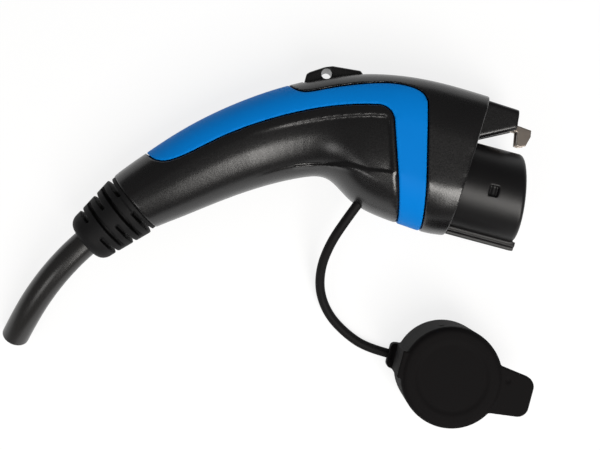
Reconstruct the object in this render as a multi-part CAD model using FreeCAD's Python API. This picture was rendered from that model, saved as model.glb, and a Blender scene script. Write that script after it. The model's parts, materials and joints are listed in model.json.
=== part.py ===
import FreeCAD, Part
import math
import os
from collections import namedtuple
from FreeCAD import Placement, Rotation, Vector

# Handheld charging connector of an electric vehicle, lying on its side as it is put down.
# +X is the way the nozzle points into the vehicle inlet, +Y is up when it is held,
# +Z is up as it lies. The origin is where the nozzle's axis meets the plane of its rim.
# Millimetres and degrees.

# Nozzle: the keyed tube that enters the inlet
nozzle_diameter = 43.8
nozzle_wall = 2.7
nozzle_root_x = -42.0
nozzle_play = 0.15
rim_tilt = 8.8
rim_round = 2.0
rim_inner_round = 0.8
key_height = 3.7
key_width = 9.0
key_step_height = 1.9
key_top_width = 6.4
key_root_x = -30.3
key_end_x = 4.2
flange_diameter = 46.0
flange_thickness = 3.4
seal_thickness = 1.0
window_x = -15.7
window_y = -0.8
window_length = 4.4
window_height = 5.4
window_depth = 1.3
window_bar = 1.6
window_bar_depth = 0.6

# Contact carrier and the five sockets
carrier_floor_x = -24.0
carrier_thickness = 9.0
carrier_play = 0.15
tower_face_x = -6.0
tower_wall = 2.1
tower_mouth_chamfer = 0.8
socket_wall = 1.3
socket_play = 0.12
socket_recess = 1.6
socket_collar = 2.0
socket_collar_reach = 1.0
mouth_play = 0.35
socket_tail = 11.0
socket_depth = 16.0
crimp_wall = 0.9
crimp_depth = 6.0
core_play = 0.05
Contact = namedtuple("Contact", "name y z pin_diameter core_diameter")
contacts = [
    Contact("line", 6.8, 7.9, 3.6, 3.8),
    Contact("neutral", 6.8, -7.9, 3.6, 3.8),
    Contact("earth", -10.6, 0.0, 2.8, 3.8),
    Contact("pilot", -5.6, 10.6, 1.5, 2.4),
    Contact("proximity", -5.6, -10.6, 1.5, 2.4),
]
pin_play = 0.05

# Handle: each station is a cross-section through a point of its top line and one of its bottom line
Station = namedtuple("Station", "top_x top_y bottom_x bottom_y half_width waist upper_square lower_square")
stations = [
    Station(-195.6, -40.4, -169.4, -59.6, 15.8, 0.50, 2.1, 2.1),
    Station(-184.2, -26.4, -159.2, -52.0, 17.4, 0.50, 2.2, 2.1),
    Station(-170.3, -11.0, -146.5, -42.4, 18.8, 0.50, 2.3, 2.1),
    Station(-155.4, 2.8, -133.5, -33.0, 19.8, 0.50, 2.4, 2.1),
    Station(-137.3, 16.5, -119.5, -24.2, 20.6, 0.50, 2.5, 2.1),
    Station(-118.2, 28.0, -105.2, -16.9, 21.8, 0.49, 2.6, 2.1),
    Station(-99.6, 36.4, -93.0, -14.7, 23.8, 0.46, 2.8, 2.1),
    Station(-80.6, 41.7, -79.6, -22.0, 26.2, 0.41, 3.2, 2.1),
    Station(-64.6, 44.0, -64.6, -26.0, 27.0, 0.385, 3.6, 2.0),
    Station(-50.0, 44.8, -50.0, -27.3, 27.0, 0.379, 3.6, 2.0),
    Station(-36.0, 44.6, -36.0, -27.5, 27.0, 0.381, 3.6, 2.0),
    Station(-22.0, 44.1, -22.0, -27.5, 27.0, 0.384, 3.6, 2.0),
]
half_section_points = 20
cheek_half_width = 26.5
handle_wall = 3.5
rib_bite = 1.2
end_wall = 4.0
front_wall_x = -33.0
front_face_x = -29.6
front_face_radius = 350.0
front_face_lean = 2.3

# Side panel, sunk below the border that runs under the accent band
panel_sink = 1.1
panel_start_x = -136.0
panel_full_x = -92.0
panel_edge = [(-140.0, -8.0), (-123.4, 1.9), (-101.2, 12.4), (-76.0, 20.0)]
panel_corner = (-71.6, 15.6)
panel_front_foot = (-60.6, -17.5)
panel_foot = [(-66.0, -13.0), (-80.0, -8.2), (-96.0, -9.5), (-118.0, -17.5), (-140.0, -31.0)]

# Accent band: a saddle on the grip's back that forks round the spine and closes as a ring
band_thickness = 1.8
band_play = 0.15
band_groove = 0.55
band_low_edge = [
    (-190.0, -22.0), (-183.4, -25.2), (-174.9, -27.6), (-163.2, -22.0), (-150.4, -11.0),
    (-129.3, 4.1), (-102.6, 17.7), (-79.3, 24.7),
]
ring_rear_top = (-70.3, 19.5)
ring_rear_foot = (-52.3, -33.0)
band_high_edge = [
    (-126.5, 28.5), (-122.0, 23.2), (-117.0, 21.8), (-107.8, 24.7), (-88.1, 32.8), (-72.5, 36.7),
]
ring_front_top = (-57.2, 31.0)
ring_front_foot = (-41.4, -34.0)

# Snout that shields the latch hook
snout_half_width = 9.25
snout_profile = [(-31.0, 42.9), (-11.3, 41.9), (-10.2, 32.1), (-26.6, 23.5), (-31.0, 22.4)]
snout_round = 2.2
snout_bevel = 1.5
channel_half_width = 5.2
channel_top_y = 40.4
channel_floor_y = 27.4
hood_open_x = -28.0

# Latch: lever, hook, button, pivot pin and spring
pivot_x = -55.0
pivot_y = 36.0
pivot_diameter = 4.0
pivot_play = 0.06
spring_x = -76.0
spring_wire = 0.9
spring_diameter = 6.6
spring_turns = 5
spring_top_y = 27.4
spring_length = 11.0
spring_play = 0.1
spring_seat_reach = 4.5
spring_peg_height = 2.0
spring_peg_play = 0.3
lever_half_width = 4.1
lever_outline = [
    (-31.2, 31.6), (-49.0, 32.3), (-62.0, 31.6),
    (spring_x + spring_seat_reach, spring_top_y + spring_play),
    (spring_x - spring_seat_reach, spring_top_y + spring_play),
    (-84.0, 25.4), (-103.0, 22.4), (-104.6, 26.6), (-84.0, 31.6), (-62.0, 38.6), (-48.0, 38.6),
    (-31.2, 36.2),
]
lever_eye_radius = 4.8
tongue_half_width = 2.4
tongue_low = (-32.0, 31.8)
tongue_high = (-17.0, 33.8)
hook_sheet = 1.55
hook_outline = [
    (-31.1, 36.0), (-12.0, 35.2), (-2.4, 34.3), (-1.9, 31.2), (-3.2, 26.0), (-5.9, 25.1),
    (-7.7, 25.3), (-8.9, 31.9), (-31.1, 31.4),
]
ear_thickness = 3.4
ear_gap = 0.5
ear_half_length = 4.5
ear_top_y = 42.6
pin_seat_play = 0.03
button_half_width = 9.0
button_gap = 0.55
button_profile = [
    (-116.6, 21.0), (-116.7, 32.0), (-115.4, 33.4), (-108.8, 37.7), (-105.3, 39.1), (-91.4, 40.4),
    (-89.3, 38.6), (-89.3, 28.8), (-104.0, 21.0),
]
button_round = 1.2
button_pocket_gap = 0.15
padlock_x = -107.2
padlock_y = 34.6
padlock_diameter = 5.2
shackle_relief = 0.5
shelf_thickness = 2.8
shelf_half_width = 4.6
shelf_reach = 4.6

# Switch that the lever holds down at rest, and the circuit board
switch_size = (12.8, 6.35, 5.8)
switch_x = -44.4
switch_low_y = 24.5
switch_hole_diameter = 2.1
switch_hole_spacing = 6.5
switch_shelf_thickness = 1.3
plunger_diameter = 1.6
plunger_height = 1.15
board_size = (20.0, 11.0, 1.6)
board_x = -84.0
board_y = 1.5
board_z = -14.4
board_post_spacing = 15.0
board_post_diameter = 4.0
board_peg_diameter = 2.2
board_peg_play = 0.1
resistor_diameter = 2.4
resistor_length = 6.6
resistor_spacing = 7.0

# Cable, its strain relief and the clamp inside the grip
cable_diameter = 13.7
boot_length = 32.0
boot_collar_diameter = 31.6
boot_root_diameter = 33.2
boot_tip_diameter = 26.4
boot_dome_start = 26.0
boot_mouth_diameter = 16.6
boot_pitch = 10.0
boot_first_slot = 3.0
boot_slot = 1.9
boot_slots = 5
boot_bridge = 9.6
boot_core_diameter = 19.4
boot_neck_diameter = 20.0
boot_lip_diameter = 23.6
boot_lip_length = 3.0
boot_neck_play = 0.2
cable_play = 0.05
cable_inner_length = 30.0
clamp_start = 10.0
clamp_length = 8.0
clamp_half_span = 11.2
clamp_end_height = 4.2
clamp_crown_height = 9.2
clamp_crown_half_span = 7.2
clamp_screw_offset = 9.0
clamp_head_diameter = 4.4
clamp_head_height = 1.8
clamp_screw_engagement = 7.0
boot_flare = 0.6
boot_flare_length = 8.0
cable_seat_depth = 17.0
cable_first_run = 19.0
cable_route = [(-10.5, -17.7, -1.6), (-17.5, -32.7, -6.2), (-23.0, -47.2, -13.0), (-26.8, -57.6, -20.3)]

# Cores that run from the sockets to the cable: the middle line of their bundle, and each one's
# place in it across and up
core_line = [(-72.0, -3.0), (-92.0, 2.0), (-110.0, 5.0), (-128.0, -1.0), (-145.0, -9.0)]
core_straight = 11.0
core_places = {"line": (2.6, 2.6), "neutral": (-2.6, 2.6), "earth": (-2.6, -2.6), "pilot": (2.6, -2.6)}
core_lead_x = -56.0
board_lead_x = -51.0
board_lead = [(-62.0, -2.6, -11.2)]
board_lead_end = 3.0

# Screws that hold the far half of the handle to the near one
screw_shank_diameter = 2.9
screw_head_diameter = 5.8
screw_head_height = 2.2
screw_play = 0.1
screw_engagement = 8.0
screw_seat_z = -7.5
screw_drive_diameter = 2.6
screw_drive_depth = 1.2
boss_diameter = 8.0
shell_screws = [(-156.7, -34.2), (-128.0, -14.5), (-108.0, -7.0), (-88.0, 11.5), (-51.5, -17.0)]

# Dust cap, mouth down beside the nozzle, and its strap
cap_x = -9.8
cap_y = -93.0
cap_diameter = 50.0
cap_bore = 43.2
cap_height = 38.0
cap_face = 4.0
cap_edge_round = 3.2
cap_dish_diameter = 33.0
cap_dish_slope = 2.0
cap_dish_depth = 0.6
cap_bead = 0.8
tab_reach = 14.8
tab_root_half_width = 14.8
tab_end_half_width = 9.6
tab_thickness = 4.2
tab_drop = 0.9
tab_corner = 5.5
lobe_half_width = 6.6
lobe_reach = 4.2
lobe_height = 8.0
lobe_round = 2.4
pad_half_width = 6.8
pad_proud = 1.2
pad_height = 37.2
strap_diameter = 4.8
strap_route = [
    (-76.0, -23.7, 3.0), (-79.8, -33.4, 1.4), (-83.6, -45.4, -3.6), (-84.9, -58.2, -11.0),
    (-82.0, -71.0, -17.8), (-74.0, -81.8, -22.3), (-62.4, -89.0, -24.0), (-50.6, -93.0, -24.0),
    (-39.0, -93.0, -24.0),
]
anchor_neck = 5.7
anchor_head_diameter = 8.2
anchor_head_length = 2.0
anchor_play = 0.1

floor_z = -cheek_half_width
nozzle_radius = nozzle_diameter / 2
board_length, board_width, board_thickness = board_size
switch_length, switch_height, switch_width = switch_size
handle_end = Vector(
    (stations[0].top_x + stations[0].bottom_x) / 2, (stations[0].top_y + stations[0].bottom_y) / 2, 0
)
end_slope = Vector(
    stations[0].top_y - stations[0].bottom_y, stations[0].bottom_x - stations[0].top_x, 0
).normalize()
made = {}


def solid_prism(points, low, high):
    """Extrude a closed outline of the XY plane from low to high in Z."""
    corners = [Vector(x, y, low) for x, y in points]
    outline = Part.makePolygon(corners + corners[:1])
    return Part.Face(outline).extrude(Vector(0, 0, high - low))


def solid_box(low, high):
    """Box between two opposite corners."""
    size = [b - a for a, b in zip(low, high)]
    return Part.makeBox(*size, Vector(*low))


def rod(start, end, radius):
    """Cylinder between two points."""
    along = end - start
    return Part.makeCylinder(radius, along.Length, start, along)


def one(shape):
    """The single solid of a shape, with its faces merged where they are one surface."""
    clean = shape.removeSplitter()
    return clean.Solids[0] if len(clean.Solids) == 1 else clean


def keep(name, shape):
    """Write a finished piece to its own file."""
    piece = one(shape)
    made[name] = piece
    piece.exportStep(f"parts/{name}.step")
    print(f"{name:24s} solids {len(piece.Solids)}  volume {piece.Volume:10.1f}  valid {piece.isValid()}")


def power(value, exponent):
    """A signed power, which squares a circle's sine and cosine into a fuller curve."""
    return math.copysign(abs(value) ** exponent, value)


def section(station, inset):
    """Points of the near half of a cross-section, top to bottom, drawn in by inset on all sides."""
    top = Vector(station.top_x, station.top_y, 0)
    bottom = Vector(station.bottom_x, station.bottom_y, 0)
    height = (top - bottom).Length
    up = (top - bottom) / height
    middle = bottom + up * (station.waist * height)
    rise = (1 - station.waist) * height - inset
    drop = station.waist * height - inset
    points = []
    for i in range(half_section_points + 1):
        share = i / half_section_points
        sine, cosine = math.cos(math.pi * share), math.sin(math.pi * share) if 0 < share < 1 else 0.0
        square = 2 / (station.upper_square if sine >= 0 else station.lower_square)
        out = (station.half_width - inset) * power(cosine, square)
        off = (rise if sine >= 0 else drop) * power(sine, square)
        points.append(middle + up * off + Vector(0, 0, out))
    return points


def handle_form(insets):
    """Closed form of the handle through its stations, drawn in by an amount for each."""
    skin = Part.BSplineSurface()
    skin.interpolate([section(s, d) for s, d in zip(stations, insets)])
    near = skin.toShape()
    faces = [near, near.mirror(Vector(0, 0, 0), Vector(0, 0, 1))]
    for edge in near.Edges:
        if edge.valueAt((edge.FirstParameter + edge.LastParameter) / 2).z > 1:
            faces.append(Part.Face(Part.Wire([edge, edge.mirror(Vector(0, 0, 0), Vector(0, 0, 1))])))
    return Part.makeSolid(Part.makeShell(faces))


def even(inset):
    return [inset] * len(stations)


def spline(points, start=None, end=None):
    """Smooth edge through points of the XY plane, with end directions where given."""
    curve = Part.BSplineCurve()
    vectors = [Vector(x, y, 0) for x, y in points]
    if start and end:
        curve.interpolate(vectors, InitialTangent=Vector(*start, 0), FinalTangent=Vector(*end, 0))
    else:
        curve.interpolate(vectors)
    return curve.toShape()


def moved_across(points, distance):
    """The points of an open line, each moved square to the line, to its left if positive."""
    shifted = []
    for i, (x, y) in enumerate(points):
        before, after = points[max(i - 1, 0)], points[min(i + 1, len(points) - 1)]
        along = Vector(after[0] - before[0], after[1] - before[1], 0).normalize()
        shifted.append((x - along.y * distance, y + along.x * distance))
    return shifted


def edge_line(curve_points, corner_top, foot, shift):
    """A band edge: a curve along the grip, a rounded corner and a straight run down the ring."""
    curve = moved_across(curve_points, shift)
    (top_x, top_y), (foot_x, foot_y) = moved_across([corner_top, foot], shift)
    run = spline(curve)
    leave = run.tangentAt(run.LastParameter)
    down = Vector(foot_x - top_x, foot_y - top_y, 0).normalize()
    corner = Part.BSplineCurve()
    corner.interpolate(
        [Vector(*curve[-1], 0), Vector(top_x, top_y, 0)], InitialTangent=leave * 12, FinalTangent=down * 12
    )
    straight = Part.makeLine(Vector(top_x, top_y, 0), Vector(foot_x, foot_y, 0))
    return [run, corner.toShape(), straight]


def region(edges, beyond):
    """Prism through the whole handle, bounded by a chain of edges and the points beyond it."""
    ends = [edges[-1].Vertexes[-1].Point, edges[0].Vertexes[0].Point]
    chain = [ends[0]] + [Vector(x, y, 0) for x, y in beyond] + [ends[1]]
    wire = Part.Wire(edges + [Part.makeLine(a, b) for a, b in zip(chain, chain[1:])])
    face = Part.Face(wire)
    face.translate(Vector(0, 0, -60))
    return face.extrude(Vector(0, 0, 120))


def flat_cheeks(shape, inset=0.0):
    """Trim a form of the handle to its two flat cheeks, drawn in by inset."""
    half = cheek_half_width - inset
    return shape.common(solid_box((-260, -120, -half), (40, 90, half)))


def panel_insets():
    """How far the side panel lies below the full form at each station; it runs out where that is nil."""
    sunk = []
    for station in stations:
        middle_x = (station.top_x + station.bottom_x) / 2
        share = (middle_x - panel_start_x) / (panel_full_x - panel_start_x)
        sunk.append(panel_sink * min(1.0, share))
    return sunk


def handle_bodies():
    """The outer form with its sunk side panels, the cavity, and the form under the band."""
    outer = flat_cheeks(handle_form(even(0)))
    sunk = handle_form(panel_insets())
    panel_top = edge_line(panel_edge, panel_corner, panel_front_foot, 0)
    foot = spline([panel_front_foot] + panel_foot + [panel_edge[0]])
    panel = Part.Face(Part.Wire(panel_top + [foot]))
    panel.translate(Vector(0, 0, -60))
    panel = panel.extrude(Vector(0, 0, 120))
    deep = min(s.half_width for s in stations) * 0.6
    sides = panel.cut(solid_box((-260, -120, -deep), (40, 90, deep)))
    trimmed = outer.cut(sides.cut(sunk))
    cavity = handle_form(even(handle_wall))
    front = solid_box((front_wall_x, -60, -60), (40, 90, 60))
    rear_point = handle_end + end_slope * end_wall
    rear = Part.makeBox(120, 120, 40, Vector(-60, -60, -40))
    rear.Placement = Placement(rear_point, Rotation(Vector(0, 0, 1), end_slope))
    cavity = cavity.cut(front).cut(rear)
    under = flat_cheeks(handle_form(even(band_thickness + band_play)), band_thickness + band_play)
    return trimmed, cavity, under


def front_limit(shape):
    """Trim the handle's front to its slightly crowned face, which leans forward at the top."""
    centre = Vector(front_face_x - front_face_radius, 0, 0)
    crown = Part.makeCylinder(front_face_radius, 200, centre - Vector(0, 100, 0), Vector(0, 1, 0))
    crown.rotate(Vector(front_face_x, 0, 0), Vector(0, 0, 1), -front_face_lean)
    ahead = solid_box((front_face_x - 40, -90, -60), (60, 100, 60))
    return shape.cut(ahead.cut(crown))


def grip_side(shift):
    """Prism over all that lies below and behind the band's lower edge."""
    edges = edge_line(band_low_edge, ring_rear_top, ring_rear_foot, shift)
    return region(edges, [(-60, -130), (-270, -130), (-270, band_low_edge[0][1])])


def front_side(shift):
    """Prism over all that lies above and ahead of the band's upper edge."""
    edges = edge_line(band_high_edge, ring_front_top, ring_front_foot, shift)
    return region(edges, [(70, -60), (70, 110), (band_high_edge[0][0], 110)])


def at_end(shape):
    """Move a shape made about the X axis to the handle's end, with +X leading out of it."""
    turned = shape.copy()
    turned.Placement = Placement(handle_end, Rotation(Vector(1, 0, 0), end_slope * -1))
    return turned


def turned_form(profile):
    """Solid of revolution about the X axis from (distance, radius) corners."""
    corners = [Vector(x, r, 0) for x, r in profile]
    face = Part.Face(Part.makePolygon(corners + corners[:1]))
    return face.revolve(Vector(0, 0, 0), Vector(1, 0, 0), 360)


def tube_path(points):
    """Straight runs joined by tangent arcs, each as large as its two runs allow."""
    vectors = [Vector(*p) for p in points]
    edges, radii, start = [], [], vectors[0]
    for before, corner, after in zip(vectors, vectors[1:], vectors[2:]):
        arriving, leaving = (corner - before).normalize(), (after - corner).normalize()
        half_turn = arriving.getAngle(leaving) / 2
        cut = 0.45 * min((corner - before).Length, (after - corner).Length)
        into, out = corner - arriving * cut, corner + leaving * cut
        inward = (leaving - arriving).normalize()
        radius = cut / math.tan(half_turn)
        crest = corner + inward * (radius / math.cos(half_turn) - radius)
        edges += [Part.LineSegment(start, into).toShape(), Part.Arc(into, crest, out).toShape()]
        radii.append(round(radius, 1))
        start = out
    edges.append(Part.LineSegment(start, vectors[-1]).toShape())
    return Part.Wire(edges), radii


def tube(name, points, radius):
    """Round tube along a path, with its volume set against its section times its length."""
    path, radii = tube_path(points)
    first = Vector(*points[0])
    along = Vector(*points[1]) - first
    ring = Part.Wire(Part.makeCircle(radius, first, along))
    solid = path.makePipeShell([ring], True, False)
    expected = math.pi * radius**2 * path.Length
    share = solid.Volume / expected
    print(f"{name:24s} length {path.Length:6.1f}  radii {radii}  volume {share:.4f} of expected")
    return solid


def shell_halves(trimmed, cavity, under):
    """Near and far halves of the handle's rear, with the step that carries the band."""
    block = solid_box((-262, -122, -58), (60, 100, 58))
    step = block.cut(grip_side(-band_groove)).cut(front_side(band_groove)).cut(under)
    neck_hole = rod(Vector(-end_wall - 2, 0, 0), Vector(2, 0, 0), boot_neck_diameter / 2 + boot_neck_play)
    body = trimmed.cut(front_side(band_groove - band_play)).cut(cavity).cut(step).cut(at_end(neck_hole))
    near = body.common(solid_box((-262, -122, 0), (60, 100, 58)))
    far = body.common(solid_box((-262, -122, -58), (60, 100, 0)))
    return near, far


def screw_bosses(near, far, rib_form):
    """Bosses along the split for the housing screws: pilot holes near, sunk heads far."""
    shank = screw_shank_diameter / 2 + screw_play
    head = screw_head_diameter / 2 + screw_play
    for x, y in shell_screws:
        middle = Vector(x, y, 0)
        near = near.fuse(rod(middle, middle + Vector(0, 0, 40), boss_diameter / 2).common(rib_form))
        near = near.cut(rod(Vector(x, y, -1), Vector(x, y, screw_engagement + 1), screw_shank_diameter / 2))
        far = far.fuse(rod(middle, middle - Vector(0, 0, 40), boss_diameter / 2).common(rib_form))
        far = far.cut(rod(Vector(x, y, -40), Vector(x, y, 1), shank))
        far = far.cut(rod(Vector(x, y, -40), Vector(x, y, screw_seat_z), head))
    return near, far


def cable_saddle(rib_form):
    """Rib of the far half that cradles the cable under its clamp."""
    corner = Vector(-clamp_start - clamp_length, -clamp_half_span, -40)
    rib = Part.makeBox(clamp_length, 2 * clamp_half_span, 40, corner)
    rib = rib.cut(rod(Vector(-60, 0, 0), Vector(10, 0, 0), cable_diameter / 2 + cable_play))
    for side in (-1, 1):
        y = side * clamp_screw_offset
        x = -clamp_start - clamp_length / 2
        foot = Vector(x, y, -clamp_screw_engagement - 1)
        rib = rib.cut(rod(foot, Vector(x, y, 1), screw_shank_diameter / 2))
    return at_end(rib).common(rib_form)


def spring_shelf(rib_form):
    """Shelf of the far half that the latch spring stands on, with a peg inside its coils."""
    foot_y = spring_top_y - spring_length
    shelf = solid_box(
        (spring_x - shelf_reach, foot_y - shelf_thickness, -40),
        (spring_x + shelf_reach, foot_y, shelf_half_width),
    )
    peg_radius = spring_diameter / 2 - spring_wire - spring_peg_play
    peg = rod(Vector(spring_x, foot_y - 1, 0), Vector(spring_x, foot_y + spring_peg_height, 0), peg_radius)
    return shelf.common(rib_form).fuse(peg)


def board_posts(rib_form):
    """Posts of the far half with pegs that locate the circuit board."""
    posts = []
    seat_z = board_z - board_thickness / 2
    for side in (-1, 1):
        x = board_x + side * board_post_spacing / 2
        seat, top = Vector(x, board_y, seat_z), Vector(x, board_y, seat_z + board_thickness)
        post = rod(Vector(x, board_y, -40), seat, board_post_diameter / 2).common(rib_form)
        posts.append(post.fuse(rod(seat - Vector(0, 0, 1), top, board_peg_diameter / 2)))
    return posts


def strap_hole():
    """Hole through the near half for the strap's neck."""
    start, leads = Vector(*strap_route[0]), Vector(*strap_route[1])
    inward = (start - leads).normalize()
    return rod(start - inward * 2, start + inward * anchor_neck, strap_diameter / 2 + anchor_play)


def make_shells(trimmed, cavity, under):
    near, far = shell_halves(trimmed, cavity, under)
    rib_form = handle_form(even(handle_wall - rib_bite))
    near, far = screw_bosses(near, far, rib_form)
    for rib in [cable_saddle(rib_form), spring_shelf(rib_form)] + board_posts(rib_form):
        far = far.fuse(rib)
    keep("handle_shell_near", near.cut(strap_hole()))
    keep("handle_shell_far", far)


def make_band(trimmed):
    bed = flat_cheeks(handle_form(even(band_thickness)), band_thickness)
    keep("accent_band", trimmed.cut(grip_side(0)).cut(front_side(0)).cut(bed))


def long_edges(shape, test):
    """Edges that run along a side of a prism, with both end points passing a test."""
    found = []
    for edge in shape.Edges:
        first, last = [v.Point for v in edge.Vertexes]
        if abs(first.z - last.z) < 0.1 and test(first) and test(last):
            found.append(edge)
    return found


def snout():
    """Hood over the hook, rounded above and bevelled below."""
    rear_y, front_y = snout_profile[0][1], snout_profile[1][1]
    hood = solid_prism(snout_profile, -snout_half_width, snout_half_width)
    hood = hood.makeFillet(snout_round, long_edges(hood, lambda p: p.y > min(rear_y, front_y) - 0.1))
    tip_y, bend_x = snout_profile[2][1], snout_profile[3][0]
    lower = long_edges(hood, lambda p: p.y < tip_y + 0.1 and p.x > bend_x - 0.1)
    return hood.makeChamfer(snout_bevel, lower)


def pivot_ears():
    """Two ears under the roof of the head that hold the latch pin."""
    ears = []
    for side in (-1, 1):
        inner = side * (lever_half_width + ear_gap)
        outer = side * (lever_half_width + ear_gap + ear_thickness)
        low, high = min(inner, outer), max(inner, outer)
        plate = solid_box(
            (pivot_x - ear_half_length, pivot_y, low), (pivot_x + ear_half_length, ear_top_y, high)
        )
        foot = rod(Vector(pivot_x, pivot_y, low), Vector(pivot_x, pivot_y, high), ear_half_length)
        ears.append(plate.fuse(foot))
    return ears


def button_window():
    """Opening in the spine that the button rises through."""
    xs = [x for x, y in button_profile]
    half = button_half_width + button_gap
    return solid_box((min(xs) - button_gap, 10, -half), (max(xs) + button_gap, 60, half))


def make_shroud(trimmed, cavity):
    """Front of the handle with the spine, its front wall and the snout."""
    head = front_limit(trimmed.common(front_side(band_groove))).cut(cavity)
    shelf = solid_box(
        (switch_x - switch_length / 2, switch_low_y - switch_shelf_thickness, -40),
        (switch_x + switch_length / 2, switch_low_y, 40),
    ).common(cavity)
    head = head.fuse([snout(), shelf] + pivot_ears())
    head = head.cut(rod(Vector(-60, 0, 0), Vector(20, 0, 0), nozzle_radius + nozzle_play).common(
        solid_box((front_wall_x - 1, -40, -40), (20, 40, 40))
    ))
    channel = solid_box(
        (front_wall_x - 1, channel_floor_y, -channel_half_width), (20, channel_top_y, channel_half_width)
    )
    low_channel = solid_box(
        (hood_open_x, -nozzle_radius, -channel_half_width), (20, channel_top_y, channel_half_width)
    )
    pin_radius = pivot_diameter / 2 + pin_seat_play
    seat = rod(Vector(pivot_x, pivot_y, -20), Vector(pivot_x, pivot_y, 20), pin_radius)
    shackle = rod(
        Vector(padlock_x, padlock_y, -60), Vector(padlock_x, padlock_y, 60),
        padlock_diameter / 2 + shackle_relief,
    )
    for opening in (channel, low_channel, button_window(), seat, shackle):
        head = head.cut(opening)
    keep("front_shroud", head)


def rim_cutter():
    """Everything ahead of the tilted rim plane."""
    cutter = Part.makeBox(60, 120, 120, Vector(0, -60, -60))
    cutter.Placement = Placement(Vector(0, 0, 0), Rotation(Vector(0, 0, 1), rim_tilt))
    return cutter


def side_window(side):
    """Shallow recess in the nozzle's side with a bar across it."""
    half_length, half_height = window_length / 2, window_height / 2
    deep = side * (math.sqrt(nozzle_radius**2 - (abs(window_y) + half_height) ** 2) - window_depth)
    recess = solid_box(
        (window_x - half_length, window_y - half_height, min(deep, side * 30)),
        (window_x + half_length, window_y + half_height, max(deep, side * 30)),
    )
    bar_top = deep + side * window_bar_depth
    bar = solid_box(
        (window_x - window_bar / 2, window_y - half_height, min(deep, bar_top)),
        (window_x + window_bar / 2, window_y + half_height, max(deep, bar_top)),
    )
    return recess.cut(bar)


def make_nozzle():
    inner_radius = nozzle_radius - nozzle_wall
    tube_body = rod(Vector(nozzle_root_x, 0, 0), Vector(20, 0, 0), nozzle_radius)
    tube_body = tube_body.cut(rod(Vector(nozzle_root_x - 1, 0, 0), Vector(21, 0, 0), inner_radius))
    tube_body = tube_body.cut(rim_cutter())
    rim = [e for e in tube_body.Edges if e.BoundBox.XMax > 1 and e.BoundBox.YLength > 1.9 * inner_radius]
    outer = [e for e in rim if e.BoundBox.YLength > 2 * inner_radius + 1]
    tube_body = tube_body.makeFillet(rim_round, outer)
    rim = [e for e in tube_body.Edges if e.BoundBox.XMax > 1]
    inner = [e for e in rim if abs(e.BoundBox.ZLength - 2 * inner_radius) < 0.1]
    tube_body = tube_body.makeFillet(rim_inner_round, inner)
    flange_front = front_wall_x - seal_thickness
    flange_back = flange_front - flange_thickness
    flange = rod(Vector(flange_back, 0, 0), Vector(flange_front, 0, 0), flange_diameter / 2)
    flange = flange.cut(rod(Vector(-60, 0, 0), Vector(0, 0, 0), inner_radius))
    root = -nozzle_radius + 0.8
    step = -nozzle_radius - key_step_height
    crest = -nozzle_radius - key_height
    key = solid_box((key_root_x, step, -key_width / 2), (key_end_x, root, key_width / 2))
    crown = solid_box((key_root_x, crest, -key_top_width / 2), (key_end_x, root, key_top_width / 2))
    key = key.fuse(crown)
    body = tube_body.fuse([flange, key])
    keep("nozzle", body.cut(side_window(1)).cut(side_window(-1)))
    seal = rod(Vector(flange_front, 0, 0), Vector(front_wall_x, 0, 0), flange_diameter / 2)
    keep("nozzle_seal", seal.cut(rod(Vector(-60, 0, 0), Vector(0, 0, 0), nozzle_radius + nozzle_play)))


def socket_radius(contact):
    return contact.pin_diameter / 2 + pin_play + socket_wall


def make_contacts():
    """Carrier with its towers, and the five socket contacts seated in it from behind."""
    back_x = carrier_floor_x - carrier_thickness
    radius = nozzle_radius - nozzle_wall - carrier_play
    carrier = rod(Vector(back_x, 0, 0), Vector(carrier_floor_x, 0, 0), radius)
    face_x = tower_face_x - socket_recess
    for contact in contacts:
        bore = socket_radius(contact) + socket_play
        place = Vector(0, contact.y, contact.z)
        tower = rod(place + Vector(back_x, 0, 0), place + Vector(tower_face_x, 0, 0), bore + tower_wall)
        flat = [e for e in tower.Edges if e.BoundBox.XLength < 0.1]
        rim = [e for e in flat if abs(e.BoundBox.Center.x - tower_face_x) < 0.1]
        carrier = carrier.fuse(tower.makeChamfer(tower_mouth_chamfer, rim))
    for contact in contacts:
        bore = socket_radius(contact) + socket_play
        place = Vector(0, contact.y, contact.z)
        carrier = carrier.cut(rod(place + Vector(back_x - 1, 0, 0), place + Vector(face_x, 0, 0), bore))
        mouth = contact.pin_diameter / 2 + mouth_play
        carrier = carrier.cut(rod(place + Vector(back_x, 0, 0), place + Vector(20, 0, 0), mouth))
    keep("contact_carrier", carrier)
    for contact in contacts:
        place = Vector(0, contact.y, contact.z)
        front_x = face_x - socket_play
        collar_x = back_x - socket_collar
        tail_x = collar_x - socket_tail
        socket = rod(place + Vector(back_x, 0, 0), place + Vector(front_x, 0, 0), socket_radius(contact))
        collar = rod(
            place + Vector(collar_x, 0, 0), place + Vector(back_x, 0, 0),
            socket_radius(contact) + socket_collar_reach,
        )
        tail_radius = contact.core_diameter / 2 + core_play + crimp_wall
        tail = rod(place + Vector(tail_x, 0, 0), place + Vector(collar_x, 0, 0), tail_radius)
        hole = rod(
            place + Vector(front_x - socket_depth, 0, 0), place + Vector(20, 0, 0),
            contact.pin_diameter / 2 + pin_play,
        )
        crimp = rod(
            place + Vector(tail_x - 1, 0, 0), place + Vector(tail_x + crimp_depth, 0, 0),
            contact.core_diameter / 2 + core_play,
        )
        keep(f"contact_{contact.name}", socket.fuse([collar, tail]).cut([hole, crimp]))


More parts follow.
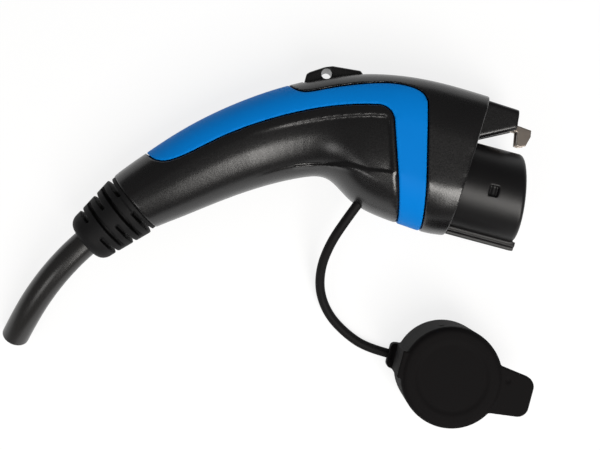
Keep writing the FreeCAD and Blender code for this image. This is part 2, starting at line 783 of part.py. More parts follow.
def make_lever():
    """Latch lever with its eye and front tongue, and the sheet steel hook riveted round the tongue."""
    blade = solid_prism(lever_outline, -lever_half_width, lever_half_width)
    pivot = Vector(pivot_x, pivot_y, 0)
    half_pin = Vector(0, 0, lever_half_width)
    eye = rod(pivot - half_pin, pivot + half_pin, lever_eye_radius)
    tongue = solid_box((*tongue_low, -tongue_half_width), (*tongue_high, tongue_half_width))
    hole = rod(Vector(pivot_x, pivot_y, -20), Vector(pivot_x, pivot_y, 20), pivot_diameter / 2 + pivot_play)
    keep("latch_lever", blade.fuse([eye, tongue]).cut(hole))


def make_hook():
    """Folded sheet: two hooked cheeks joined by a web along their upper edge."""
    gap = tongue_half_width + 0.05
    reach = gap + hook_sheet
    cheeks = solid_prism(hook_outline, -reach, reach).cut(solid_box((-60, 0, -gap), (20, 60, gap)))
    top = hook_outline[:3]
    web = solid_prism(top + [(x, y - hook_sheet) for x, y in reversed(top)], -reach, reach)
    keep("latch_hook", cheeks.fuse(web))


def make_button():
    body = solid_prism(button_profile, -button_half_width, button_half_width)
    crest_y = button_profile[1][1] - 0.1
    crest = long_edges(body, lambda p: p.y > crest_y and abs(p.z) > button_half_width - 0.1)
    body = body.makeFillet(button_round, crest)
    lever_wire = Part.makePolygon([Vector(x, y, 0) for x, y in lever_outline + lever_outline[:1]])
    room = Part.Face(lever_wire.makeOffset2D(button_pocket_gap, 2))
    room = room.extrude(Vector(0, 0, 2 * (lever_half_width + button_pocket_gap)))
    room.translate(Vector(0, 0, -lever_half_width - button_pocket_gap))
    hole = rod(Vector(padlock_x, padlock_y, -20), Vector(padlock_x, padlock_y, 20), padlock_diameter / 2)
    keep("release_button", body.cut([room, hole]))


def make_pivot_and_spring():
    half = lever_half_width + ear_gap + ear_thickness
    pin = rod(Vector(pivot_x, pivot_y, -half), Vector(pivot_x, pivot_y, half), pivot_diameter / 2)
    keep("latch_pivot_pin", pin)
    radius = (spring_diameter - spring_wire) / 2
    rise = spring_length - spring_wire - spring_play
    helix = Part.makeHelix(rise / spring_turns, rise, radius)
    ring = Part.Wire(Part.makeCircle(spring_wire / 2, Vector(radius, 0, 0), Vector(0, 1, 0)))
    coil = Part.Wire(helix.Edges).makePipeShell([ring], True, True)
    foot_y = spring_top_y - spring_length + spring_play + spring_wire / 2
    coil.Placement = Placement(Vector(spring_x, foot_y, 0), Rotation(Vector(1, 0, 0), -90))
    keep("latch_spring", coil)


def make_switch_and_board():
    middle = Vector(switch_x, switch_low_y, 0)
    body = solid_box(
        (switch_x - switch_length / 2, switch_low_y, -switch_width / 2),
        (switch_x + switch_length / 2, switch_low_y + switch_height, switch_width / 2),
    )
    top = middle + Vector(0, switch_height, 0)
    plunger = rod(top - Vector(0, 1, 0), top + Vector(0, plunger_height, 0), plunger_diameter / 2)
    holes = []
    for side in (-1, 1):
        x, y = switch_x + side * switch_hole_spacing / 2, switch_low_y + switch_height / 3
        holes.append(rod(Vector(x, y, -20), Vector(x, y, 20), switch_hole_diameter / 2))
    keep("microswitch", body.fuse(plunger).cut(holes))
    half = Vector(board_length, board_width, board_thickness) * 0.5
    centre = Vector(board_x, board_y, board_z)
    board = solid_box(centre - half, centre + half)
    for side in (-1, 1):
        x = board_x + side * board_post_spacing / 2
        board = board.cut(
            rod(Vector(x, board_y, -40), Vector(x, board_y, 0), board_peg_diameter / 2 + board_peg_play)
        )
        y = board_y + side * resistor_spacing / 2
        z = board_z + half.z + resistor_diameter * 0.4
        body = rod(
            Vector(board_x - resistor_length / 2, y, z), Vector(board_x + resistor_length / 2, y, z),
            resistor_diameter / 2,
        )
        board = board.fuse(body)
    keep("circuit_board", board)


def make_cores():
    """Insulated cores from the socket crimps to the cable, and the short lead to the board."""
    root_x = carrier_floor_x - carrier_thickness - socket_collar - socket_tail + crimp_depth
    for contact in contacts:
        start = (root_x, contact.y, contact.z)
        radius = contact.core_diameter / 2
        if contact.name in core_places:
            across, up = core_places[contact.name]
            straight_start = handle_end + end_slope * (cable_inner_length + core_straight)
            sheath_end = handle_end + end_slope * cable_inner_length
            line = core_line + [(straight_start.x, straight_start.y)]
            shifted = moved_across(line, -up)
            offset = Vector(-end_slope.y, end_slope.x, 0) * up
            last = [(p.x + offset.x, p.y + offset.y) for p in (straight_start, sheath_end)]
            points = [(x, y, across) for x, y in shifted[:-1] + last]
            points = [start, (core_lead_x, contact.y, contact.z)] + points
        else:
            top = board_z + board_thickness / 2 + radius
            edge = board_x + board_length / 2
            points = [start, (board_lead_x, contact.y, contact.z)] + board_lead
            points += [(edge, board_y, top), (edge - board_lead_end, board_y, top)]
        keep(f"core_{contact.name}", tube(f"core_{contact.name}", points, radius))


def make_clamp():
    """Saddle over the cable inside the grip, and its two screws."""
    outline = [
        (-clamp_half_span, 0), (clamp_half_span, 0), (clamp_half_span, clamp_end_height),
        (clamp_crown_half_span, clamp_crown_height), (-clamp_crown_half_span, clamp_crown_height),
        (-clamp_half_span, clamp_end_height),
    ]
    corners = [Vector(-clamp_start, y, z) for y, z in outline]
    saddle = Part.Face(Part.makePolygon(corners + corners[:1])).extrude(Vector(-clamp_length, 0, 0))
    saddle = saddle.cut(rod(Vector(-60, 0, 0), Vector(10, 0, 0), cable_diameter / 2 + cable_play))
    x = -clamp_start - clamp_length / 2
    seat = clamp_end_height - clamp_head_height
    for index, side in enumerate((-1, 1)):
        y = side * clamp_screw_offset
        saddle = saddle.cut(rod(Vector(x, y, -1), Vector(x, y, 20), screw_shank_diameter / 2 + screw_play))
        saddle = saddle.cut(rod(Vector(x, y, seat), Vector(x, y, 20), clamp_head_diameter / 2 + screw_play))
        screw = rod(Vector(x, y, -clamp_screw_engagement), Vector(x, y, seat), screw_shank_diameter / 2)
        screw = screw.fuse(rod(Vector(x, y, seat), Vector(x, y, clamp_end_height), clamp_head_diameter / 2))
        keep(f"clamp_screw_{index + 1}", at_end(screw))
    keep("cable_clamp", at_end(saddle))


def make_housing_screws():
    for index, (x, y) in enumerate(shell_screws):
        head_low = screw_seat_z - screw_head_height
        screw = rod(Vector(x, y, screw_seat_z), Vector(x, y, screw_engagement), screw_shank_diameter / 2)
        screw = screw.fuse(rod(Vector(x, y, head_low), Vector(x, y, screw_seat_z), screw_head_diameter / 2))
        drive_end = Vector(x, y, head_low + screw_drive_depth)
        drive = rod(Vector(x, y, head_low - 1), drive_end, screw_drive_diameter / 2)
        keep(f"housing_screw_{index + 1}", screw.cut(drive))


def make_boot():
    """Slotted strain relief: rings held apart by pairs of bridges, each pair a quarter turn on."""
    collar, root = boot_collar_diameter / 2, boot_root_diameter / 2
    tip, mouth = boot_tip_diameter / 2, boot_mouth_diameter / 2
    dome = boot_length - boot_dome_start
    profile = [(0, 0), (0, collar), (boot_first_slot, collar), (boot_first_slot, root)]
    profile.append((boot_dome_start, tip))
    for step in range(1, 7):
        turn = math.radians(15 * step)
        profile.append((boot_dome_start + dome * math.sin(turn), mouth + (tip - mouth) * math.cos(turn)))
    profile.append((boot_length, 0))
    body = turned_form(profile)
    sleeve = rod(Vector(-1, 0, 0), Vector(boot_length + 1, 0, 0), boot_core_diameter / 2)
    for index in range(boot_slots):
        x = boot_first_slot + index * boot_pitch / 2 - boot_slot / 2
        slot = rod(Vector(x, 0, 0), Vector(x + boot_slot, 0, 0), root + 5).cut(sleeve)
        wide, deep = (30, boot_bridge / 2) if index % 2 else (boot_bridge / 2, 30)
        body = body.cut(slot.cut(solid_box((x - 1, -wide, -deep), (x + boot_slot + 1, wide, deep))))
    neck = rod(Vector(-end_wall, 0, 0), Vector(1, 0, 0), boot_neck_diameter / 2)
    lip = rod(Vector(-end_wall - boot_lip_length, 0, 0), Vector(-end_wall, 0, 0), boot_lip_diameter / 2)
    body = body.fuse([neck, lip])
    bore_radius = cable_diameter / 2 + cable_play
    flare = Part.makeCone(
        bore_radius, bore_radius + boot_flare, boot_flare_length,
        Vector(boot_length - boot_flare_length, 0, 0), Vector(1, 0, 0),
    )
    body = body.cut(rod(Vector(-30, 0, 0), Vector(60, 0, 0), bore_radius)).cut(flare)
    keep("strain_relief_boot", at_end(body))


def make_cable():
    """Cable held in the grip and boot, and the free stretch that starts inside the boot."""
    held_end = Vector(boot_length - cable_seat_depth, 0, 0)
    held = rod(Vector(-cable_inner_length, 0, 0), held_end, cable_diameter / 2)
    keep("cable_inner", at_end(held))
    mouth = handle_end - end_slope * boot_length
    seat = mouth + end_slope * cable_seat_depth
    route = [tuple(seat), tuple(seat - end_slope * cable_first_run)]
    route += [tuple(mouth + Vector(*p)) for p in cable_route]
    keep("cable_free", tube("cable_free", route, cable_diameter / 2))
    print("cable route", [tuple(round(v, 1) for v in p) for p in route])


def upright_edges(shape, test):
    """Edges along Z of a block, where their X passes a test."""
    return [e for e in shape.Edges if e.BoundBox.ZLength > 1 and test(e.BoundBox.Center.x)]


def make_cap():
    """Push-on dust cap with a pull tab at its closed end and an ear for the strap at its mouth."""
    centre = Vector(cap_x, cap_y, 0)
    top_z = floor_z + cap_height
    body = rod(centre + Vector(0, 0, floor_z), centre + Vector(0, 0, top_z), cap_diameter / 2)
    rim = [e for e in body.Edges if abs(e.BoundBox.ZMin - top_z) < 0.01 and e.BoundBox.ZLength < 0.01]
    body = body.makeFillet(cap_edge_round, rim)
    tab_end = cap_x + cap_diameter / 2 + tab_reach
    outline = [
        (cap_x, cap_y - tab_root_half_width), (tab_end, cap_y - tab_end_half_width),
        (tab_end, cap_y + tab_end_half_width), (cap_x, cap_y + tab_root_half_width),
    ]
    tab = solid_prism(outline, top_z - tab_drop - tab_thickness, top_z - tab_drop)
    tab = tab.makeFillet(tab_corner, upright_edges(tab, lambda x: x > tab_end - 0.1))
    inside = cap_diameter / 2 - cap_edge_round
    tab = tab.cut(rod(centre + Vector(0, 0, -60), centre + Vector(0, 0, 60), inside))
    lobe_end = cap_x - cap_diameter / 2 - lobe_reach
    lobe = solid_box(
        (lobe_end, cap_y - lobe_half_width, floor_z),
        (cap_x, cap_y + lobe_half_width, floor_z + lobe_height),
    )
    lobe = lobe.makeFillet(lobe_round, upright_edges(lobe, lambda x: x < lobe_end + 0.1))
    pad = solid_box(
        (cap_x - cap_diameter / 2 - pad_proud, cap_y - pad_half_width, floor_z),
        (cap_x, cap_y + pad_half_width, floor_z + pad_height),
    )
    bore = rod(centre + Vector(0, 0, floor_z - 1), centre + Vector(0, 0, top_z - cap_face), cap_bore / 2)
    lip = rod(centre + Vector(0, 0, floor_z + 2), centre + Vector(0, 0, floor_z + 4), cap_bore / 2)
    bead_radius = cap_bore / 2 - cap_bead
    lip = lip.cut(rod(centre + Vector(0, 0, floor_z), centre + Vector(0, 0, floor_z + 6), bead_radius))
    dish_radius = cap_dish_diameter / 2
    dish = Part.makeCone(
        dish_radius, dish_radius + cap_dish_slope, cap_dish_depth,
        centre + Vector(0, 0, top_z - cap_dish_depth),
    )
    cap = body.fuse([tab, lobe, pad]).cut(bore).fuse(lip).cut(dish)
    keep("dust_cap", cap)


def make_strap():
    keep("cap_strap", tube("cap_strap", strap_route, strap_diameter / 2))
    start, leads = Vector(*strap_route[0]), Vector(*strap_route[1])
    inward = (start - leads).normalize()
    neck = rod(start, start + inward * anchor_neck, strap_diameter / 2)
    seat = start + inward * anchor_neck
    keep("strap_anchor", neck.fuse(rod(seat, seat + inward * anchor_head_length, anchor_head_diameter / 2)))


os.makedirs("parts", exist_ok=True)
trimmed_form, cavity_form, band_bed = handle_bodies()
make_shells(trimmed_form, cavity_form, band_bed)
make_band(trimmed_form)
make_shroud(trimmed_form, cavity_form)
make_nozzle()
make_contacts()
make_lever()
make_hook()
make_button()
make_pivot_and_spring()
make_switch_and_board()
make_cores()
make_clamp()
make_housing_screws()
make_boot()
make_cable()
make_cap()
make_strap()
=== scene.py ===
import json
import math
import bmesh
import bpy
from mathutils import Matrix, Vector

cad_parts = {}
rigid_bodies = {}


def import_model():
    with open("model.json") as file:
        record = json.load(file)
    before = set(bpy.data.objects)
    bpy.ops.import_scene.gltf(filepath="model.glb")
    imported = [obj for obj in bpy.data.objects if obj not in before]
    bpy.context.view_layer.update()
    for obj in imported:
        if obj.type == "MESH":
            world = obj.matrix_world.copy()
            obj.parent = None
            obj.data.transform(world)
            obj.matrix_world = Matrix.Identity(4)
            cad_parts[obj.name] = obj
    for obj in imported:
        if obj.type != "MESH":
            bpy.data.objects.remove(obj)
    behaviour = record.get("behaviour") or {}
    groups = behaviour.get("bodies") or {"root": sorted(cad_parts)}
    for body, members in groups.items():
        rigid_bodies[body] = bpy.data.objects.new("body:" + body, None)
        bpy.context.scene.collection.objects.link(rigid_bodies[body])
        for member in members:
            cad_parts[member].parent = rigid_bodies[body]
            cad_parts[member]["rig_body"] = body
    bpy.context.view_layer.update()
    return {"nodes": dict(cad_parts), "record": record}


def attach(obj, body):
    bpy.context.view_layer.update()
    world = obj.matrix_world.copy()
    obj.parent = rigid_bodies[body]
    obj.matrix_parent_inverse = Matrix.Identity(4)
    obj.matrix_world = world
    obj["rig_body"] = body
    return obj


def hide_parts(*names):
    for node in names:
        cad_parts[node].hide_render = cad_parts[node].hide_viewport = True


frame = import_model()
nodes = frame["nodes"]
slotOf = {part["node"]: part["material_slot"] for part in frame["record"]["subparts"]}
scene = bpy.context.scene
print("frame loaded,", len(nodes), "nodes")

# Camera straight above the connector, turned as the photograph is
photoView = {"place": (-0.1006, -0.0402, 0.480), "turn": 15.0, "lens": 57.9, "sensor": 36.0}
cameraData = bpy.data.cameras.new("camera")
cameraData.lens = photoView["lens"]
cameraData.sensor_width = photoView["sensor"]
camera = bpy.data.objects.new("camera", cameraData)
camera.location = photoView["place"]
camera.rotation_euler = (0, 0, math.radians(photoView["turn"]))
scene.collection.objects.link(camera)
scene.camera = camera
scene.view_settings.view_transform = "Standard"


# Shader sums as plain expressions: a wire is one output socket of a material's nodes
class Wire:
    def __init__(self, tree, socket=None):
        self.tree = tree
        self.socket = socket

    def node(self, kind, inputs, settings=None, output=0):
        made = self.tree.nodes.new(kind)
        for name, value in (settings or {}).items():
            setattr(made, name, value)
        for name, value in inputs.items():
            if isinstance(value, Wire):
                self.tree.links.new(value.socket, made.inputs[name])
            else:
                made.inputs[name].default_value = value
        return Wire(self.tree, made.outputs[output] if made.outputs else None)

    def sum(self, operation, first, second):
        return self.node("ShaderNodeMath", {0: first, 1: second}, {"operation": operation})

    def __add__(self, other):
        return self.sum("ADD", self, other)

    def __radd__(self, other):
        return self.sum("ADD", other, self)

    def __sub__(self, other):
        return self.sum("SUBTRACT", self, other)

    def __mul__(self, other):
        return self.sum("MULTIPLY", self, other)

    def __rmul__(self, other):
        return self.sum("MULTIPLY", other, self)


def startMaterial(name):
    material = bpy.data.materials.new(name)
    material.use_nodes = True
    material.node_tree.nodes.clear()
    return material, Wire(material.node_tree)


def noise(wire, scale, stretch=(1, 1, 1)):
    place = wire.node("ShaderNodeTexCoord", {}, output="Object")
    place = wire.node("ShaderNodeMapping", {"Vector": place, "Scale": stretch})
    return wire.node("ShaderNodeTexNoise", {"Vector": place, "Scale": scale, "Detail": 2.0})


# A moulded or drawn surface: broad clouds shift its colour and sheen, a fine grain roughens it
def moulded(name, look):
    material, wire = startMaterial(name)
    cloud = noise(wire, look["cloudScale"])
    grain = noise(wire, look["grainScale"], look["stretch"])
    middle = 0.5  # of either noise
    colour = wire.node(
        "ShaderNodeMix", {0: cloud, 6: (*look["colour"], 1), 7: (*look["paler"], 1)},
        {"data_type": "RGBA"}, 2,
    )
    dull = look["roughness"] + look["roughnessRange"] * (cloud - middle)
    dull += look["grainRoughness"] * (grain - middle)
    bump = wire.node(
        "ShaderNodeBump", {"Strength": look["bump"], "Distance": look["depth"], "Height": grain}
    )
    shader = wire.node("ShaderNodeBsdfPrincipled", {
        "Base Color": colour,
        "Roughness": dull,
        "Metallic": look["metallic"],
        "Specular IOR Level": look["specular"],
        "Normal": bump,
    })
    wire.node("ShaderNodeOutputMaterial", {"Surface": shader})
    return material


satinLook = {
    "colour": (0.0036, 0.0034, 0.0038), "paler": (0.0052, 0.0048, 0.0050), "cloudScale": 45.0,
    "grainScale": 1150.0, "stretch": (1, 1, 1), "roughness": 0.28, "roughnessRange": 0.06,
    "grainRoughness": 0.14, "bump": 0.17, "depth": 0.00014, "metallic": 0.0, "specular": 0.56,
}
metalLook = {**satinLook, "metallic": 1.0, "specular": 0.5, "bump": 0.05}
coreLook = {**satinLook, "roughness": 0.45}
finishes = {
    "handle_black": satinLook,
    "accent_blue": {
        **satinLook, "colour": (0.0, 0.156, 0.508), "paler": (0.0, 0.167, 0.540),
        "roughness": 0.5, "grainScale": 2400.0, "bump": 0.14, "depth": 0.00006, "specular": 0.05,
    },
    "nozzle_black": {
        **satinLook, "roughness": 0.40, "grainScale": 2400.0, "grainRoughness": 0.08, "bump": 0.14,
        "specular": 0.30,
    },
    "switch_black": {**satinLook, "roughness": 0.3, "bump": 0.05},
    "seal_rubber": {
        **satinLook, "colour": (0.012, 0.012, 0.012), "roughness": 0.6, "specular": 0.2,
    },
    "boot_rubber": {
        **satinLook, "colour": (0.0045, 0.0045, 0.0050), "paler": (0.0062, 0.0062, 0.0066),
        "roughness": 0.62, "grainScale": 3600.0, "grainRoughness": 0.05, "bump": 0.35,
        "depth": 0.00004, "specular": 0.16,
    },
    "cable_rubber": {
        **satinLook, "colour": (0.0105, 0.0100, 0.0098), "paler": (0.0140, 0.0134, 0.0130),
        "roughness": 0.29, "grainScale": 2400.0, "grainRoughness": 0.08, "bump": 0.12,
        "depth": 0.00006, "specular": 0.50,
    },
    "cap_rubber": {
        **satinLook, "colour": (0.0042, 0.0037, 0.0039), "paler": (0.0054, 0.0048, 0.0050),
        "roughness": 0.70, "grainScale": 2400.0, "grainRoughness": 0.05, "bump": 0.3,
        "depth": 0.00005, "specular": 0.06,
    },
    "strap_rubber": {
        **satinLook, "colour": (0.0052, 0.0048, 0.0050), "paler": (0.0068, 0.0062, 0.0064),
        "roughness": 0.6, "grainScale": 3600.0, "grainRoughness": 0.05, "bump": 0.25,
        "depth": 0.00004, "specular": 0.12,
    },
    "hook_steel": {
        **metalLook, "colour": (0.25, 0.215, 0.185), "paler": (0.36, 0.315, 0.28),
        "roughness": 0.34, "roughnessRange": 0.12, "grainScale": 2600.0, "grainRoughness": 0.16,
        "stretch": (0.06, 1.0, 1.0), "bump": 0.12,
    },
    "spring_steel": {
        **metalLook, "colour": (0.42, 0.42, 0.42), "paler": (0.52, 0.52, 0.52), "roughness": 0.26,
    },
    "screw_steel": {
        **metalLook, "colour": (0.40, 0.40, 0.39), "paler": (0.50, 0.50, 0.48), "roughness": 0.3,
    },
    "contact_silver": {
        **metalLook, "colour": (0.70, 0.68, 0.62), "paler": (0.80, 0.78, 0.72), "roughness": 0.22,
        "bump": 0.04,
    },
    "board_green": {
        **satinLook, "colour": (0.01, 0.12, 0.04), "paler": (0.03, 0.20, 0.07), "cloudScale": 420.0,
        "roughness": 0.3, "bump": 0.1, "specular": 0.4,
    },
    "core_brown": {**coreLook, "colour": (0.13, 0.045, 0.018), "paler": (0.15, 0.055, 0.022)},
    "core_blue": {**coreLook, "colour": (0.01, 0.07, 0.36), "paler": (0.012, 0.085, 0.42)},
    "core_green": {**coreLook, "colour": (0.05, 0.28, 0.035), "paler": (0.06, 0.32, 0.045)},
    "core_white": {**coreLook, "colour": (0.66, 0.66, 0.64), "paler": (0.72, 0.72, 0.70)},
}
materials = {slot: moulded(slot, look) for slot, look in finishes.items()}
for name, node in nodes.items():
    for holder in node.material_slots:
        holder.material = materials[slotOf[name]]
print("materials made:", len(materials))


def alone(piece):
    bpy.ops.object.select_all(action="DESELECT")
    bpy.context.view_layer.objects.active = piece
    piece.select_set(True)


def settle(piece, body, slot, *replaced):
    piece.data.materials.clear()
    piece.data.materials.append(materials[slot])
    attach(piece, body)
    if replaced:
        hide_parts(*replaced)


# Cords: the charging cable and the strap of the dust cap, as smooth lines by their route points
cable = {
    "diameter": 0.0137, "length": 0.0845, "exit": (-0.1914, -0.0621, 0.0),
    "route": [
        (-0.1914, -0.0621, 0.0), (-0.2026, -0.0774, 0.0), (-0.2119, -0.0935, -0.0016),
        (-0.2189, -0.1085, -0.0062), (-0.2244, -0.1230, -0.0130), (-0.2282, -0.1334, -0.0203),
    ],
}
strap = {
    "diameter": 0.0048, "length": 0.1050, "exit": (-0.0760, -0.0237, 0.0030),
    "route": [
        (-0.0760, -0.0237, 0.0030), (-0.0798, -0.0334, 0.0014), (-0.0836, -0.0454, -0.0036),
        (-0.0849, -0.0582, -0.0110), (-0.0820, -0.0710, -0.0178), (-0.0740, -0.0818, -0.0223),
        (-0.0624, -0.0890, -0.0240), (-0.0506, -0.0930, -0.0240), (-0.0390, -0.0930, -0.0240),
    ],
}
cordDetail = {"round": 10, "along": 24}


def cordCurve(name, cord):
    curve = bpy.data.curves.new(name, "CURVE")
    curve.dimensions = "3D"
    curve.bevel_depth = cord["diameter"] / 2
    curve.bevel_resolution = cordDetail["round"]
    curve.use_fill_caps = True
    line = curve.splines.new("NURBS")
    line.points.add(len(cord["route"]) - 1)
    for point, place in zip(line.points, cord["route"]):
        point.co = (*place, 1)
    line.order_u = 3
    line.use_endpoint_u = True
    line.resolution_u = cordDetail["along"]
    piece = bpy.data.objects.new(name, curve)
    scene.collection.objects.link(piece)
    return piece


# The cable's cut face: filler, cores and strands stand a little proud of the jacket's end
cutFace = {"sunk": 0.0006, "bevel": 0.00012}
coreForm = {"radius": 0.00155, "proud": 0.00030, "sides": 32}
cutForms = {
    "cutFiller": {
        **coreForm, "slot": "core_white", "radius": 0.00465, "proud": 0.00006, "places": [(0, 0)],
    },
    "cutLineCore": {**coreForm, "slot": "core_brown", "places": [(0, 0.00245)]},
    "cutNeutralCore": {**coreForm, "slot": "core_blue", "places": [(-0.00212, -0.00122)]},
    "cutEarthCore": {**coreForm, "slot": "core_green", "places": [(0.00212, -0.00122)]},
    "cutSignalCores": {
        **coreForm, "slot": "cable_rubber", "radius": 0.00085,
        "places": [(0.00303, 0.00175), (-0.00303, 0.00175)],
    },
}
strands = {"ring": 0.00064, "count": 6, "cores": ("cutLineCore", "cutNeutralCore", "cutEarthCore")}
turns = [math.tau * index / strands["count"] for index in range(strands["count"])]
lay = [(0, 0)]
lay += [(strands["ring"] * math.cos(turn), strands["ring"] * math.sin(turn)) for turn in turns]
middles = [cutForms[core]["places"][0] for core in strands["cores"]]
cutForms["cutStrands"] = {
    "slot": "contact_silver", "radius": 0.00030, "proud": 0.00042, "sides": 12,
    "places": [(x + across, y + up) for x, y in middles for across, up in lay],
}


def studs(name, look):
    rise = cutFace["sunk"] + look["proud"]
    middle = (look["proud"] - cutFace["sunk"]) / 2
    solid = bmesh.new()
    for x, y in look["places"]:
        bmesh.ops.create_cone(
            solid, cap_ends=True, segments=look["sides"], radius1=look["radius"],
            radius2=look["radius"], depth=rise, matrix=Matrix.Translation((x, y, middle)),
        )
    rims = [edge for edge in solid.edges if all(vertex.co.z > 0 for vertex in edge.verts)]
    bmesh.ops.bevel(solid, geom=rims, offset=cutFace["bevel"], segments=2, affect="EDGES")
    end, before = Vector(cable["route"][-1]), Vector(cable["route"][-2])
    turned = (end - before).to_track_quat("Z", "Y").to_matrix().to_4x4()
    bmesh.ops.transform(solid, matrix=Matrix.Translation(end) @ turned, verts=solid.verts)
    mesh = bpy.data.meshes.new(name)
    solid.to_mesh(mesh)
    solid.free()
    piece = bpy.data.objects.new(name, mesh)
    scene.collection.objects.link(piece)
    settle(piece, "connector", look["slot"])
    return piece


cablePiece = cordCurve("chargingCable", cable)
settle(cablePiece, "connector", "cable_rubber", "cable_free")
cutPieces = [studs(name, look) for name, look in cutForms.items()]
strapPiece = cordCurve("capStrap", strap)
settle(strapPiece, "connector", "strap_rubber", "cap_strap")
print("cords laid")

# Mouldings: a CAD piece's own form, its edges eased as a mould leaves them
mouldings = {
    "handle_shell_near": {"piece": "gripShellNear", "cell": 0.00060, "eased": 4},
    "handle_shell_far": {"piece": "gripShellFar", "cell": 0.00060, "eased": 4},
    "front_shroud": {"piece": "headShroud", "cell": 0.00050, "eased": 4},
    "accent_band": {"piece": "blueBand", "cell": 0.00048, "eased": 9},
    "nozzle": {"piece": "keyedNozzle", "cell": 0.00045, "eased": 2},
    "release_button": {"piece": "releaseButton", "cell": 0.00032, "eased": 16},
    "strain_relief_boot": {"piece": "cableBoot", "cell": 0.00038, "eased": 6},
    "dust_cap": {"piece": "dustCap", "cell": 0.00045, "eased": 7},
    "latch_hook": {"piece": "latchHook", "cell": 0.00022, "eased": 2},
    "latch_lever": {"piece": "latchLever", "cell": 0.00035, "eased": 2},
}
weldGap = 0.000004


def castPiece(nodeName, moulding):
    piece = bpy.data.objects.new(moulding["piece"], nodes[nodeName].data.copy())
    scene.collection.objects.link(piece)
    alone(piece)
    bpy.ops.object.mode_set(mode="EDIT")
    bpy.ops.mesh.select_all(action="SELECT")
    bpy.ops.mesh.remove_doubles(threshold=weldGap)
    bpy.ops.object.mode_set(mode="OBJECT")
    skin = piece.modifiers.new("skin", "REMESH")
    skin.mode = "VOXEL"
    skin.voxel_size = moulding["cell"]
    ease = piece.modifiers.new("ease", "SMOOTH")
    ease.iterations = moulding["eased"]
    for modifier in ("skin", "ease"):
        bpy.ops.object.modifier_apply(modifier=modifier)
    bpy.ops.object.shade_smooth()
    settle(piece, nodes[nodeName]["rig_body"], slotOf[nodeName], nodeName)
    print(piece.name, len(piece.data.loops) - 2 * len(piece.data.polygons), "triangles")
    return piece


cast = {name: castPiece(name, moulding) for name, moulding in mouldings.items()}

# Side panels: the foot of each rises towards the head, and the grip rolls up over it
panelFoot = {
    "sunk": 0.0011, "step": 0.0016, "crown": 0.0264, "facing": 0.15,
    "along": (-0.114, -0.056), "across": (-0.022, 0.004),
    "cut": [
        (-0.0606, -0.0175), (-0.0660, -0.0130), (-0.0800, -0.0082), (-0.0960, -0.0095),
        (-0.1100, -0.0142),
    ],
    "front": [(-0.0606, -0.0175), (-0.0657, 0.0000), (-0.0690, 0.0110)],
    "raised": [
        (-0.0500, -0.0046), (-0.0636, -0.0053), (-0.0766, -0.0073), (-0.0865, -0.0066),
        (-0.0998, -0.0105), (-0.1100, -0.0142),
    ],
}
# How softly the foot's edges run out: fully by the head, least along the grip, more at the tail
footBlur = {
    "reach": 0.0034, "passes": 110, "head": (-0.092, -0.074), "least": 0.06,
    "tail": (-0.104, -0.094), "tailShare": 0.70, "rise": (-0.0010, 0.0022),
}
farAway = 1.0  # farther than any piece reaches


# Distance in plan from a line of points, above zero on the left of its way
def lineSide(place, line):
    best = farAway
    for start, end in zip(line, line[1:]):
        along = Vector(end) - Vector(start)
        offset = place - Vector(start)
        share = min(max(offset.dot(along) / along.length_squared, 0.0), 1.0)
        gap = (offset - along * share).length
        if gap < abs(best):
            best = math.copysign(gap, along.x * offset.y - along.y * offset.x)
    return best


def ramp(value, low, high):
    share = min(max((value - low) / (high - low), 0.0), 1.0)
    return share * share * (3 - 2 * share)


def blurZone(piece, group, passes):
    alone(piece)
    blur = piece.modifiers.new("blur", "SMOOTH")
    blur.vertex_group = group.name
    blur.iterations = passes
    bpy.ops.object.modifier_apply(modifier="blur")


def raiseFoot(piece, side):
    group = piece.vertex_groups.new(name="foot")
    rear, fore = panelFoot["along"]
    low, high = panelFoot["across"]
    for vertex in piece.data.vertices:
        place = vertex.co.xy
        outward = side * vertex.normal.z >= panelFoot["facing"]
        if not (outward and rear < place.x < fore and low < place.y < high):
            continue
        belowRaised = lineSide(place, panelFoot["raised"])
        aboveCut = -lineSide(place, panelFoot["cut"])
        behindFront = lineSide(place, panelFoot["front"])
        if aboveCut > 0 and behindFront > 0 and belowRaised > -panelFoot["step"]:
            height = side * vertex.co.z
            lifted = height + panelFoot["sunk"] * ramp(belowRaised, -panelFoot["step"], 0.0)
            vertex.co.z = side * min(lifted, max(panelFoot["crown"], height))
        near = min(abs(aboveCut), abs(behindFront) if belowRaised > 0 else farAway)
        tail = footBlur["tailShare"] * (1 - ramp(place.x, *footBlur["tail"]))
        fade = max(ramp(place.x, *footBlur["head"]), tail, footBlur["least"])
        fade *= ramp(belowRaised, *footBlur["rise"])
        group.add([vertex.index], fade * math.exp(-(near / footBlur["reach"]) ** 2), "REPLACE")
    blurZone(piece, group, footBlur["passes"])


raiseFoot(cast["handle_shell_near"], 1)
raiseFoot(cast["handle_shell_far"], -1)
print("panel feet raised")

# The flat cheeks run out softly into the round of the head, from the band's edges to the face
ringRear = [(-0.0703, 0.0195), (-0.0523, -0.0330)]
ringFront = [(-0.0572, 0.0310), (-0.0414, -0.0340)]
headFace = [(-0.0264, 0.0450), (-0.0312, -0.0280)]
cheeks = {
    "height": (0.0226, 0.0256), "margin": (0.0012, 0.0038), "passes": 220,
    "between": {"accent_band": (ringRear, ringFront), "front_shroud": (ringFront, headFace)},
}
for name, (rear, front) in cheeks["between"].items():
    group = cast[name].vertex_groups.new(name="cheek")
    for vertex in cast[name].data.vertices:
        weight = ramp(abs(vertex.co.z), *cheeks["height"])
        if weight > 0:
            weight *= ramp(lineSide(vertex.co.xy, rear), *cheeks["margin"])
            weight *= ramp(-lineSide(vertex.co.xy, front), *cheeks["margin"])
            group.add([vertex.index], weight, "REPLACE")
    blurZone(cast[name], group, cheeks["passes"])
print("cheeks blended")

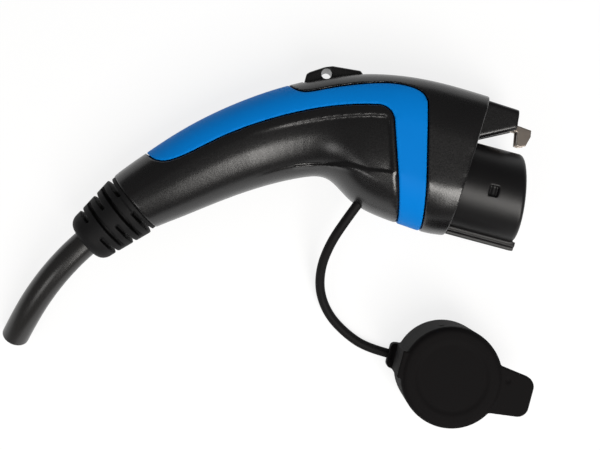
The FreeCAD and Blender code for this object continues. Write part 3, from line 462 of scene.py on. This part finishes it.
# Gate marks of the cap's mould: a shallow dimple on the wall and one at the tab's root
gateMarks = {
    "places": [(-0.0199, -0.0701, 0.0020), (0.0169, -0.0873, 0.0106)],
    "radius": 0.0011, "depth": 0.0007, "reach": 3,
}
for mark in gateMarks["places"]:
    for vertex in cast["dust_cap"].data.vertices:
        gap = (vertex.co - Vector(mark)).length / gateMarks["radius"]
        if gap < gateMarks["reach"]:
            vertex.co -= vertex.normal * gateMarks["depth"] * math.exp(-gap * gap)
print("cap marked")

# Floor, world and lamps
studio = {
    "aim": (-0.10, -0.04, 0.0),
    "floorHeight": -0.0265, "floorSize": 8.0, "floorColour": (0.94, 0.94, 0.94), "floorGlow": 0.80,
    "floorDull": 0.85, "fibreDull": 0.1, "fibreScale": 600.0, "floorSheen": 0.1,
    "skyLight": 0.46, "skyLow": 0.75, "skyHigh": 0.10, "skyTurn": (0.0, 0.13),
}
lamps = {
    "keyLamp": {
        "place": (0.2495, -0.3836, 0.7548), "size": (0.30, 0.64), "power": 7.4,
        "colour": (1.0, 0.975, 0.94),
    },
    "fillLamp": {
        "place": (-0.367, -0.619, 0.636), "size": (0.30, 0.30), "power": 1.0,
        "colour": (1.0, 0.985, 0.97),
    },
}
white = (1, 1, 1, 1)
aim = Vector(studio["aim"])


# One where the ray comes from the camera, a shiny surface or a clear one
def seenRays(wire):
    direct, glossy, clear = [
        wire.node("ShaderNodeLightPath", {}, output=f"Is {kind} Ray")
        for kind in ("Camera", "Glossy", "Transmission")
    ]
    return direct + glossy + clear


def sky(wire, strength):
    return wire.node("ShaderNodeBackground", {"Color": white, "Strength": strength})


bpy.ops.mesh.primitive_plane_add(
    size=studio["floorSize"], location=(aim.x, aim.y, studio["floorHeight"])
)
floor = bpy.context.object
floor.name = "floor"
floorMaterial, wire = startMaterial("floorPaper")
fibre = noise(wire, studio["fibreScale"])
paper = wire.node("ShaderNodeBsdfPrincipled", {
    "Base Color": (*studio["floorColour"], 1),
    "Roughness": studio["floorDull"] + studio["fibreDull"] * fibre,
    "Specular IOR Level": studio["floorSheen"],
})
glow = wire.node("ShaderNodeEmission", {"Color": white, "Strength": 1.0})
shownGlow = seenRays(wire) * studio["floorGlow"]
shader = wire.node("ShaderNodeMixShader", {0: shownGlow, 1: paper, 2: glow})
wire.node("ShaderNodeOutputMaterial", {"Surface": shader})
floor.data.materials.append(floorMaterial)

world = bpy.data.worlds.new("studio")
world.use_nodes = True
world.node_tree.nodes.clear()
scene.world = world
wire = Wire(world.node_tree)
turnLow, turnHigh = studio["skyTurn"]
way = wire.node("ShaderNodeTexCoord", {}, output="Generated")
height = wire.node("ShaderNodeSeparateXYZ", {0: way}, output="Z")
height = wire.node("ShaderNodeMapRange", {0: height, 1: turnLow, 2: turnHigh})
lowSky, highSky = sky(wire, studio["skyLow"]), sky(wire, studio["skyHigh"])
shownSky = wire.node("ShaderNodeMixShader", {0: height, 1: lowSky, 2: highSky})
lightSky = sky(wire, studio["skyLight"])
shader = wire.node("ShaderNodeMixShader", {0: seenRays(wire), 1: lightSky, 2: shownSky})
wire.node("ShaderNodeOutputWorld", {"Surface": shader})

for name, look in lamps.items():
    lampData = bpy.data.lights.new(name, "AREA")
    lampData.shape = "RECTANGLE"
    lampData.size, lampData.size_y = look["size"]
    lampData.energy = look["power"]
    lampData.color = look["colour"]
    lamp = bpy.data.objects.new(name, lampData)
    lamp.location = look["place"]
    lamp.rotation_euler = (lamp.location - aim).to_track_quat("Z", "Y").to_euler()
    scene.collection.objects.link(lamp)
print("studio lit")
